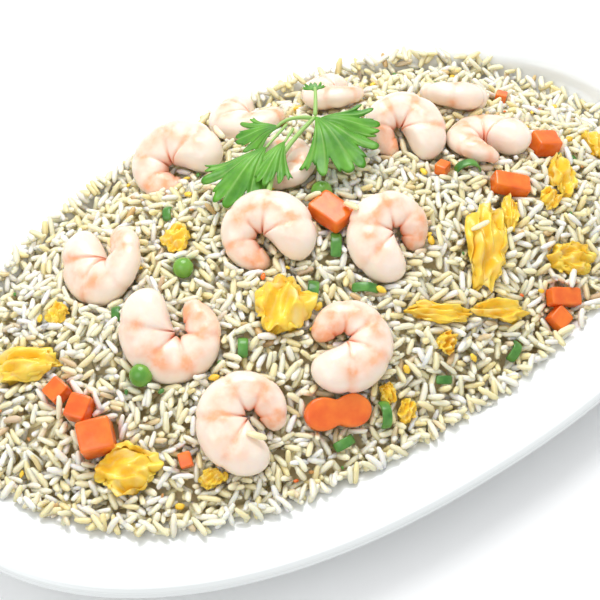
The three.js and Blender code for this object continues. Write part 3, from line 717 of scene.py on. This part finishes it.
def add_toppings():
    """Every topping on its node's place; the world points and faces come back for the rice."""
    shrimp = shrimp_material()
    pea = moist_material("pea_green", 90.0, (0.10, 0.30, 0.03), (0.22, 0.46, 0.06), 0.22, 0.3)
    carrot = moist_material("carrot_orange", 130.0, (0.78, 0.12, 0.012), (0.92, 0.22, 0.02), 0.25, 0.3)
    egg = moist_material("egg_yellow", 110.0, (0.88, 0.50, 0.025), (0.97, 0.70, 0.08), 0.34, 0.3)
    green = moist_material("scallion_green", 160.0, (0.03, 0.15, 0.015), (0.12, 0.34, 0.05), 0.28, 0.2)
    solids = []

    def keep(name, shape, material, slot, node):
        add_piece(name, *shape, material, slot, node)
        solids.append(shape)

    for i, (x, y, across, turn, lean_x, lean_y, hand) in enumerate(SHRIMPS, 1):
        points, faces, look = shrimp_shape(across, hand, i)
        points = seat(points, x, y, SHRIMP_LIFT, turn, lean_x, lean_y)
        keep(f"shrimp_{i:02d}_meat", (points, faces, look), shrimp, "shrimp_flesh", f"shrimp_{i:02d}")
    for i, (x, y, radius) in enumerate(PEAS, 1):
        points, faces, look = pea_shape(radius, i)
        points = seat(points, x, y, PEA_LIFT_SHARE * radius, 40 * i)
        keep(f"pea_{i:02d}_skin", (points, faces, look), pea, "pea_green", f"pea_{i:02d}")
    for i, (x, y, length, width, thickness, turn, lift) in enumerate(CARROTS, 1):
        points, faces, look = block_shape(length, width, thickness, i)
        points = seat(points, x, y, lift, turn)
        keep(f"carrot_{i:02d}_dice", (points, faces, look), carrot, "carrot_orange", f"carrot_{i:02d}")
    x, y, radius, thickness, turn, lift = CARROT_SLICE
    points, faces, look = block_shape(2 * radius, 2 * radius, thickness, 30, 0.3, SLICE_WAIST)
    points = seat(points, x, y, lift, turn)
    keep("carrot_slice_cut", (points, faces, look), carrot, "carrot_orange", "carrot_slice")
    for i, (x, y, length, width, thickness, turn, arch) in enumerate(EGGS, 1):
        points, faces, look = egg_shape(length, width, thickness, arch, 10 + i)
        points = seat(points, x, y, EGG_LIFT_SHARE * thickness, turn)
        keep(f"egg_{i:02d}_curd", (points, faces, look), egg, "egg_yellow", f"egg_{i:02d}")
    for i, (x, y, radius, sweep, width, turn) in enumerate(SCALLIONS, 1):
        points, faces, look = scallion_shape(radius, sweep, width)
        points = seat(points, x, y, SCALLION_LIFT, turn)
        keep(f"scallion_{i:02d}_cut", (points, faces, look), green, "scallion_green", f"scallion_{i:02d}")
    add_piece("coriander_sprig", *coriander_shape(), leaf_material(), "coriander_green", "coriander")

    scraps = random.Random(5)
    kinds = (("egg_crumbs", EGG_CRUMBS, egg, "egg_yellow"),
             ("green_crumbs", GREEN_CRUMBS, green, "scallion_green"),
             ("carrot_crumbs", CARROT_CRUMBS, carrot, "carrot_orange"),
             ("toasted_crumbs", TOASTED_CRUMBS, toasted_material(), "cooked_rice"))
    for name, (count, small, large), material, slot in kinds:
        shapes = []
        for k in range(count):
            x, y = random_place(scraps, CRUMB_REACH)
            size = scraps.uniform(small, large)
            points, faces = unit_sphere(8, 12)
            points = points * np.array([size / 2, size / 3.2, size / 4.5])
            points *= (1 + 0.3 * fuzz(points, 0.9, k))[:, None]
            points = seat(points, x, y, scraps.uniform(0.2, 1.4), scraps.uniform(0, 360))
            shapes.append((points, faces, np.zeros((len(points), 1))))
        shape = join_shapes(shapes)
        add_piece(name, *shape, material, slot, "rice_heap")
        solids.append(shape)
    return solids


def toasted_material():
    material, tree, shader = new_material("toasted")
    colour = ramp_node(tree, noise_node(tree, 300.0), (0.3, (0.42, 0.17, 0.04)), (0.7, (0.70, 0.38, 0.12)))
    link(tree, colour, shader.inputs["Base Color"])
    shader.inputs["Roughness"].default_value = 0.4
    return material


# The rice

def random_place(draw, limit):
    """A point on the heap's plan, evenly spread."""
    share = limit * math.sqrt(draw.random())
    angle = draw.uniform(0, 2 * math.pi)
    out = share * float(heap_reach(angle) * reach(angle, HEAP_POWER))
    x = HEAP_HALF_LENGTH * out * math.cos(angle)
    y = HEAP_HALF_WIDTH * out * math.sin(angle)
    return x, y


def clumps(x, y):
    """Grains stick together, so the surface rises and sinks in clumps."""
    places = np.stack([x, y, 0 * x], -1)
    return (2.4 * fuzz(places, 0.09, 4) + 2.0 * fuzz(places, 0.2, 7)).reshape(x.shape)


def core_surface(x, y):
    return heap_height(x, y) + clumps(x, y) - CORE_DEPTH


def add_core():
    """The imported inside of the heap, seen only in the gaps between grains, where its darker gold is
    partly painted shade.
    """
    rows, cols, below = 66, 180, 14
    angle = np.linspace(0, 2 * math.pi, cols, endpoint=False)[None, :]
    above = np.linspace(0, CORE_SHARE, rows)
    share = np.concatenate([above, np.linspace(CORE_UNDER_SHARE, 0, below)])[:, None]
    out = share * heap_reach(angle) * reach(angle, HEAP_POWER)
    x = HEAP_HALF_LENGTH * out * np.cos(angle)
    y = HEAP_HALF_WIDTH * out * np.sin(angle)
    floor = platter_top(x, y) + CORE_CLEAR
    z = np.maximum(core_surface(x, y), floor)
    z[rows:] = floor[rows:]
    points = np.stack([x, y, z], -1)
    rough = fuzz(points[:rows], 0.45, 2).reshape(rows, cols)
    points[:rows, :, 2] += 0.5 * rough
    points = points.reshape(-1, 3)
    look = np.zeros((len(points), 1))
    faces = wrapped_faces(rows + below, cols)
    add_piece("rice_core", points, faces, look, core_colour_and_shade_material(), "cooked_rice", "rice_heap")


def cover_maps(solids):
    """Lowest and highest height of the toppings over each cell of the grid."""
    trees = []
    for points, faces, _ in solids:
        low, high = points.min(0), points.max(0)
        trees.append((BVHTree.FromPolygons(points.tolist(), faces), low, high))
    xs = np.arange(-GRID_HALF[0], GRID_HALF[0] + 1.0)
    ys = np.arange(-GRID_HALF[1], GRID_HALF[1] + 1.0)
    under = np.full((len(xs), len(ys)), 1e6)
    over = np.full((len(xs), len(ys)), -1e6)
    up, down = Vector((0, 0, 1)), Vector((0, 0, -1))
    for tree, low, high in trees:
        for i in range(int(low[0] + GRID_HALF[0]), int(high[0] + GRID_HALF[0]) + 2):
            for j in range(int(low[1] + GRID_HALF[1]), int(high[1] + GRID_HALF[1]) + 2):
                hit = tree.ray_cast(Vector((xs[i], ys[j], -50)), up)[0]
                if hit is not None:
                    top = tree.ray_cast(Vector((xs[i], ys[j], 200)), down)[0]
                    under[i, j] = min(under[i, j], hit.z)
                    over[i, j] = max(over[i, j], top.z)
    return xs, ys, widen(under, np.minimum), widen(over, np.maximum)


def widen(cells, choose):
    """Each cell takes the lowest or highest of itself and its four neighbours."""
    wide = cells.copy()
    wide[1:] = choose(wide[1:], cells[:-1])
    wide[:-1] = choose(wide[:-1], cells[1:])
    wide[:, 1:] = choose(wide[:, 1:], cells[:, :-1])
    wide[:, :-1] = choose(wide[:, :-1], cells[:, 1:])
    return wide


def lay_grains(solids):
    """Drop grains one by one on a height map, each resting on those below it."""
    draw = random.Random(21)
    xs, ys, under, over = cover_maps(solids)
    grid_x, grid_y = np.meshgrid(xs, ys, indexing="ij")
    share, _ = heap_share(grid_x, grid_y)
    packed = core_surface(grid_x, grid_y)
    glaze = platter_top(grid_x, grid_y)
    ground = np.maximum(np.where(share < CORE_SHARE, packed, -1e6), glaze)
    limit = np.maximum(packed + CORE_DEPTH, glaze + EDGE_LAYER)
    stations = np.linspace(-1, 1, 7)
    grains = []
    for _ in range(GRAIN_TRIES):
        x, y = random_place(draw, GRAIN_REACH)
        length = draw.uniform(*GRAIN_LENGTH)
        thick = draw.uniform(*GRAIN_WIDTH)
        yaw = draw.uniform(0, math.pi)
        half = 0.43 * length
        px = x + half * stations * math.cos(yaw)
        py = y + half * stations * math.sin(yaw)
        i = np.round(px + GRID_HALF[0]).astype(int)
        j = np.round(py + GRID_HALF[1]).astype(int)
        resting = draw.random() < RESTING_SHARE
        beneath = ground[i, j]
        if resting:
            beneath = np.maximum(beneath, over[i, j])
        left = beneath[:3].max()
        right = beneath[4:].max()
        slope = np.clip((right - left) / (1.4 * half), -STEEPEST, STEEPEST)
        if draw.random() < SMALL_TILT_SHARE:
            slope += draw.gauss(0, SMALL_TILT)
        else:
            slope += draw.uniform(-LARGE_TILT, LARGE_TILT)
        middle = max((beneath - slope * half * stations).max() - 0.28 * thick, 0.5 * (left + right))
        middle += 0.42 * thick
        line = middle + slope * half * stations
        if not resting:
            if middle > limit[i[3], j[3]] + HEAP_SPARE:
                continue
            if np.any((under[i, j] < line + 0.5 * thick) & (over[i, j] > line - 0.5 * thick)):
                continue
        grains.append((x, y, middle, yaw, math.atan(slope), length, thick, resting))
        crown = line + 0.36 * thick * np.sqrt(1 - 0.8 * stations ** 4)
        aside_x = int(round(-math.sin(yaw)))
        aside_y = int(round(math.cos(yaw)))
        for k in (-1, 0, 1):
            a, b = i + k * aside_x, j + k * aside_y
            ground[a, b] = np.maximum(ground[a, b], crown - 0.35 * abs(k))
    return grains


def grain_form():
    """A unit grain along X: rings of points between two tips, and its triangles."""
    stations = np.array([-0.92, -0.55, 0.3, 0.88])
    widths = np.array([0.6, 0.96, 1.0, 0.68])
    cols = 5
    turn = np.linspace(0, 2 * math.pi, cols, endpoint=False)
    points = [(-1, 0, 0)]
    for station, width in zip(stations, widths):
        for angle in turn:
            points.append((station, width * math.cos(angle), GRAIN_FLATTEN * width * math.sin(angle)))
    points.append((1, 0, 0))
    last = len(points) - 1
    faces = []
    for col in range(cols):
        after = (col + 1) % cols
        faces.append((0, 1 + after, 1 + col))
        for row in range(len(stations) - 1):
            a, b = 1 + row * cols + col, 1 + row * cols + after
            faces.append((a, b, b + cols))
            faces.append((a, b + cols, a + cols))
        tip = 1 + (len(stations) - 1) * cols
        faces.append((tip + col, tip + after, last))
    return np.array(points, float), np.array(faces)


def add_grains(name, grains, material, seed):
    draw = random.Random(seed)
    form, form_faces = grain_form()
    points, faces, look = [], [], []
    for number, (x, y, z, yaw, pitch, length, thick, _) in enumerate(grains):
        bend = draw.uniform(-0.07, 0.07) * length
        taper = draw.uniform(0.8, 1.0)
        local = form * np.array([length / 2, thick / 2, thick / 2])
        shrink = 1 - (1 - taper) * np.clip(form[:, 0], 0, 1)
        local[:, 1:] *= shrink[:, None]
        local[:, 1] += bend * form[:, 0] ** 2
        roll = draw.uniform(-0.6, 0.6)
        side = local[:, 1] * math.cos(roll) - local[:, 2] * math.sin(roll)
        rise = local[:, 1] * math.sin(roll) + local[:, 2] * math.cos(roll)
        ahead = local[:, 0] * math.cos(pitch) - rise * math.sin(pitch)
        rise = local[:, 0] * math.sin(pitch) + rise * math.cos(pitch)
        world_x = x + ahead * math.cos(yaw) - side * math.sin(yaw)
        world_y = y + ahead * math.sin(yaw) + side * math.cos(yaw)
        points.append(np.stack([world_x, world_y, z + rise], -1))
        faces.append(form_faces + number * len(form))
        toast = draw.uniform(0.25, 0.7) if draw.random() < 0.04 else draw.uniform(0, 0.1)
        look.append(np.tile([draw.random(), toast], (len(form), 1)))
    points = np.concatenate(points)
    faces = np.concatenate(faces).tolist()
    look = np.concatenate(look)
    add_piece(name, points, faces, look, material, "cooked_rice", "rice_heap", weld=False)


def add_rice(solids):
    add_core()
    grains = lay_grains(solids)
    kinds = (("grains_pale", (0.98, 0.94, 0.78), (0.97, 0.89, 0.64)),
             ("grains_cream", (0.98, 0.92, 0.70), (0.95, 0.84, 0.53)),
             ("grains_white", (0.98, 0.96, 0.88), (0.97, 0.92, 0.77)),
             ("grains_golden", (0.97, 0.89, 0.62), (0.92, 0.76, 0.40)))
    for k, (name, pale, deep) in enumerate(kinds):
        material = rice_material(name, pale, deep, (0.50, 0.25, 0.07))
        add_grains(name, grains[k::len(kinds)], material, 40 + k)


# Floor, light and camera

def add_floor():
    mesh = bpy.data.meshes.new("floor")
    half = 3.0
    corners = [(-half, -half, 0), (half, -half, 0), (half, half, 0), (-half, half, 0)]
    mesh.from_pydata(corners, [], [(0, 1, 2, 3)])
    material, tree, shader = new_material("pale_floor")
    cloud = noise_node(tree, 2.0, 1.0)
    colour = ramp_node(tree, cloud, (0.3, (0.94, 0.94, 0.94)), (0.7, (0.96, 0.96, 0.96)))
    link(tree, colour, shader.inputs["Base Color"])
    shader.inputs["Roughness"].default_value = 0.9
    shader.inputs["Specular IOR Level"].default_value = 0.1
    mesh.materials.append(material)
    floor = bpy.data.objects.new("floor", mesh)
    floor.location.z = -0.0004
    bpy.context.scene.collection.objects.link(floor)


def view_back(azimuth, elevation):
    """The direction from the dish to a viewer."""
    turn, lift = math.radians(azimuth), math.radians(elevation)
    return Vector((math.sin(turn) * math.cos(lift), -math.cos(turn) * math.cos(lift), math.sin(lift)))


def add_light(name, azimuth, elevation, distance, size, power):
    data = bpy.data.lights.new(name, "AREA")
    data.shape = "DISK"
    data.size = size
    data.energy = power
    lamp = bpy.data.objects.new(name, data)
    back = view_back(azimuth, elevation)
    lamp.location = back * distance
    lamp.rotation_euler = back.to_track_quat("Z", "Y").to_euler()
    bpy.context.scene.collection.objects.link(lamp)


def add_camera():
    data = bpy.data.cameras.new("photo_camera")
    data.lens = CAMERA_LENS
    data.sensor_width = 36
    camera = bpy.data.objects.new("photo_camera", data)
    back = view_back(CAMERA_AZIMUTH, CAMERA_ELEVATION)
    camera.location = (Vector(CAMERA_TARGET) + back * CAMERA_DISTANCE) * MM
    camera.rotation_euler = back.to_track_quat("Z", "Y").to_euler()
    bpy.context.scene.collection.objects.link(camera)
    bpy.context.scene.camera = camera


def add_world():
    world = bpy.data.worlds.new("studio")
    world.use_nodes = True
    sky = world.node_tree.nodes["Background"]
    sky.inputs["Color"].default_value = (0.97, 0.985, 1.0, 1)
    sky.inputs["Strength"].default_value = SKY_STRENGTH
    bpy.context.scene.world = world
    bpy.context.scene.view_settings.view_transform = "Standard"


add_platter()
add_rice(add_toppings())
add_floor()
for light in LIGHTS:
    add_light(*light)
add_camera()
add_world()
